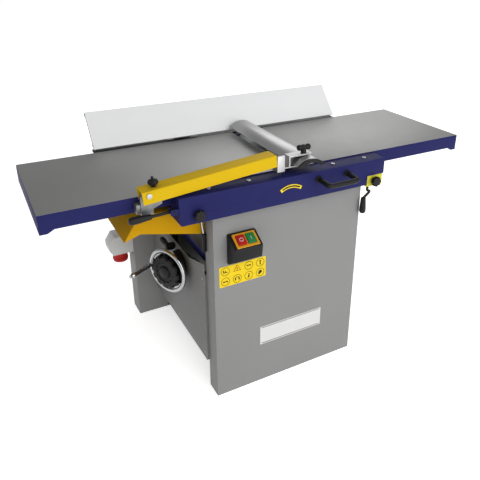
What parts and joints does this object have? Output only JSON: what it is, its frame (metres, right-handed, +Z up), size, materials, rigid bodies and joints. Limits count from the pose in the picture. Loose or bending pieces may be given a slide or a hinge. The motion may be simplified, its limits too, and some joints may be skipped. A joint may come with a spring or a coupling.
{
  "type": "planer_thicknesser",
  "caption": "Surface planer and thicknesser with long fold-up cast tables, leaning aluminium fence, bridge guard, side handwheel and grey sheet-steel cabinet",
  "frame": {"origin": "middle of the four floor anchor holes, at floor level", "axes": "+X along the tables towards the infeed end, +Y to the back where the tables hinge, +Z up"},
  "size_m": [1.626, 0.889, 0.9752],
  "materials": {
    "sheet_steel": "semi gloss, light grey powder coat, fine orange-peel",
    "casting_paint": "blue enamel on cast iron, slightly grainy",
    "ground_iron": "ground bright table surface with fine cross lines",
    "bright_steel": "machined bright steel",
    "chrome": "polished chrome",
    "aluminium": "brushed and anodised aluminium",
    "black_plastic": "moulded black plastic, fine texture",
    "yellow_paint": "semi gloss yellow paint",
    "yellow_plastic": "glossy yellow plastic",
    "red_plastic": "glossy red plastic",
    "green_plastic": "glossy green plastic",
    "rubber": "matte belt rubber",
    "guard_paint": "grey paint on folded steel",
    "dark_steel": "dark paint, matte"
  },
  "bodies": {
    "cabinet": {"front_shell": "sheet_steel", "rear_shell": "sheet_steel", "side_panel_left": "sheet_steel", "side_panel_right": "sheet_steel", "base_plate": "dark_steel", "guide_columns": "chrome", "front_casting": "casting_paint", "rear_casting": "casting_paint", "cutter_bearings": "bright_steel", "hinge_brackets": "dark_steel", "motor": "dark_steel", "drive_belt": "rubber", "drive_chains": "dark_steel", "kickback_shaft": "bright_steel", "gearbox_housing": "black_plastic", "chip_hood": "yellow_paint", "switch_box": "black_plastic", "switch_bezel": "yellow_plastic", "electrical_box": "sheet_steel", "power_inlet": "red_plastic"},
    "tables": {"outfeed_table": "ground_iron", "outfeed_hinge_arms": "casting_paint", "infeed_carrier": "casting_paint", "front_beam": "casting_paint", "beam_screws": "bright_steel", "pull_handle": "black_plastic", "stop_block": "yellow_paint", "fence_guide": "dark_steel", "guard_bracket": "guard_paint"},
    "infeed_table": {"infeed_table": "ground_iron"},
    "infeed_lever": {"infeed_lever": "black_plastic"},
    "lock_knob_left": {"lock_knob_left": "black_plastic"},
    "lock_knob_right": {"lock_knob_right": "black_plastic"},
    "table_lock_lever": {"table_lock_lever": "black_plastic"},
    "fence_carriage": {"fence_carriage": "bright_steel"},
    "fence": {"fence_plate": "aluminium"},
    "fence_clamp_lever": {"fence_clamp_lever": "black_plastic"},
    "guard_arm": {"guard_arm": "yellow_paint", "blade_clamp": "guard_paint"},
    "guard_knob": {"guard_knob": "black_plastic"},
    "guard_blade": {"guard_blade": "aluminium", "blade_end_cap": "black_plastic"},
    "blade_knob": {"blade_knob": "black_plastic"},
    "thickness_table": {"thickness_table": "ground_iron"},
    "elevating_screw": {"elevating_screw": "bright_steel"},
    "side_spindle": {"side_spindle": "bright_steel"},
    "handwheel": {"handwheel": "chrome", "handwheel_hub": "black_plastic", "wheel_shaft": "bright_steel"},
    "handwheel_grip": {"handwheel_grip": "chrome"},
    "thickness_lock": {"thickness_lock": "black_plastic"},
    "cutterhead": {"cutterhead": "bright_steel", "cutter_knives": "bright_steel", "cutter_pulley": "bright_steel"},
    "motor_pulley": {"motor_pulley": "bright_steel"},
    "infeed_roller": {"infeed_roller": "bright_steel"},
    "outfeed_roller": {"outfeed_roller": "bright_steel"},
    "kickback_fingers": {"kickback_fingers": "dark_steel"},
    "start_button": {"start_button": "green_plastic"},
    "stop_button": {"stop_button": "red_plastic"}
  },
  "joints": [
    {"name": "table_fold", "type": "hinge", "parent": "cabinet", "child": "tables", "pos_m": [0, 0.3205, 0.765], "axis": [-1, 0, 0], "range_deg": [0, 90]},
    {"name": "infeed_lever_turn", "type": "hinge", "parent": "tables", "child": "infeed_lever", "pos_m": [0.318, -0.3795, 0.753], "axis": [0, 0, 1], "range_deg": [0, 61.5]},
    {"name": "infeed_height", "type": "slide", "parent": "tables", "child": "infeed_table", "axis": [0, 0, -1], "range_m": [0, 0.004]},
    {"name": "lock_knob_left_turn", "type": "hinge", "parent": "tables", "child": "lock_knob_left", "pos_m": [-0.361, -0.3965, 0.785], "axis": [0, -1, 0], "range_deg": [-180, 180]},
    {"name": "lock_knob_right_turn", "type": "hinge", "parent": "tables", "child": "lock_knob_right", "pos_m": [0.332, -0.3965, 0.765], "axis": [0, -1, 0], "range_deg": [-180, 180]},
    {"name": "table_lock_lever_turn", "type": "hinge", "parent": "tables", "child": "table_lock_lever", "pos_m": [-0.434, -0.3795, 0.803], "axis": [0, 1, 0], "range_deg": [-60, 4]},
    {"name": "fence_slide", "type": "slide", "parent": "tables", "child": "fence_carriage", "axis": [0, -1, 0], "range_m": [0, 0.15]},
    {"name": "fence_tilt", "type": "hinge", "parent": "fence_carriage", "child": "fence", "pos_m": [-0.2, 0.1465, 0.8556], "axis": [1, 0, 0], "range_deg": [-4, 41]},
    {"name": "fence_clamp_turn", "type": "hinge", "parent": "tables", "child": "fence_clamp_lever", "pos_m": [-0.2, 0.2405, 0.893], "axis": [0, 0, 1], "range_deg": [-10, 45]},
    {"name": "guard_arm_tilt", "type": "hinge", "parent": "tables", "child": "guard_arm", "pos_m": [-0.507, -0.359, 0.871], "axis": [0, -1, 0], "range_deg": [-0.5, 4]},
    {"name": "guard_knob_turn", "type": "hinge", "parent": "guard_arm", "child": "guard_knob", "pos_m": [-0.48211, -0.359, 0.87335], "axis": [-0.0941, 0, 0.9956], "range_deg": [-180, 1200]},
    {"name": "guard_blade_slide", "type": "slide", "parent": "guard_arm", "child": "guard_blade", "axis": [0, -1, 0], "range_m": [0, 0.152]},
    {"name": "blade_knob_turn", "type": "hinge", "parent": "guard_arm", "child": "blade_knob", "pos_m": [0.047, -0.353, 0.906], "axis": [0, 0, 1], "range_deg": [-90, 90]},
    {"name": "thickness_height", "type": "slide", "parent": "cabinet", "child": "thickness_table", "axis": [0, 0, 1], "range_m": [-0.02, 0.175]},
    {"name": "elevating_screw_turn", "type": "hinge", "parent": "cabinet", "child": "elevating_screw", "pos_m": [0, -0.0995, 0.2], "axis": [0, 0, 1], "range_deg": [-1600, 13000]},
    {"name": "side_spindle_turn", "type": "hinge", "parent": "cabinet", "child": "side_spindle", "pos_m": [-0.255, -0.03836, 0.2], "axis": [0, 0, 1], "range_deg": [-2300, 18600]},
    {"name": "handwheel_turn", "type": "hinge", "parent": "cabinet", "child": "handwheel", "pos_m": [-0.375, -0.0995, 0.425], "axis": [0.891, 0.454, 0], "range_deg": [-2300, 18600]},
    {"name": "handwheel_grip_spin", "type": "hinge", "parent": "handwheel", "child": "handwheel_grip", "pos_m": [-0.41177, -0.02733, 0.425], "axis": [0.891, 0.454, 0], "continuous": true},
    {"name": "thickness_lock_turn", "type": "hinge", "parent": "cabinet", "child": "thickness_lock", "pos_m": [-0.32, 0.0005, 0.468], "axis": [-1, 0, 0], "range_deg": [-60, 60]},
    {"name": "cutterhead_spin", "type": "hinge", "parent": "cabinet", "child": "cutterhead", "pos_m": [0.05, -0.0995, 0.813], "axis": [0, 1, 0], "continuous": true},
    {"name": "motor_spin", "type": "hinge", "parent": "cabinet", "child": "motor_pulley", "pos_m": [0.05, 0.1005, 0.255], "axis": [0, 1, 0], "continuous": true},
    {"name": "infeed_roller_spin", "type": "hinge", "parent": "cabinet", "child": "infeed_roller", "pos_m": [0.125, -0.0995, 0.79], "axis": [0, 1, 0], "continuous": true},
    {"name": "outfeed_roller_spin", "type": "hinge", "parent": "cabinet", "child": "outfeed_roller", "pos_m": [-0.025, -0.0995, 0.79], "axis": [0, 1, 0], "continuous": true},
    {"name": "kickback_swing", "type": "hinge", "parent": "cabinet", "child": "kickback_fingers", "pos_m": [0.167, -0.0995, 0.782], "axis": [0, 1, 0], "range_deg": [0, 40]},
    {"name": "start_press", "type": "slide", "parent": "cabinet", "child": "start_button", "axis": [0, 0.4961, -0.8682], "range_m": [0, 0.002], "stiffness_N_per_m": 400},
    {"name": "stop_press", "type": "slide", "parent": "cabinet", "child": "stop_button", "axis": [0, 0.4961, -0.8682], "range_m": [0, 0.002], "stiffness_N_per_m": 400}
  ],
  "couplings": [
    {"joint": "infeed_lever_turn", "follows": "infeed_height", "rad_per_m": 261.8},
    {"joint": "guard_knob_turn", "follows": "guard_arm_tilt", "ratio": 300},
    {"joint": "guard_blade_slide", "follows": "fence_slide", "ratio": 1},
    {"joint": "elevating_screw_turn", "follows": "thickness_height", "rad_per_m": 1256.6},
    {"joint": "side_spindle_turn", "follows": "thickness_height", "rad_per_m": 1780.2},
    {"joint": "handwheel_turn", "follows": "thickness_height", "rad_per_m": 1780.2},
    {"joint": "motor_spin", "follows": "cutterhead_spin", "ratio": 0.625},
    {"joint": "infeed_roller_spin", "follows": "cutterhead_spin", "ratio": 0.05},
    {"joint": "outfeed_roller_spin", "follows": "cutterhead_spin", "ratio": 0.05}
  ]
}
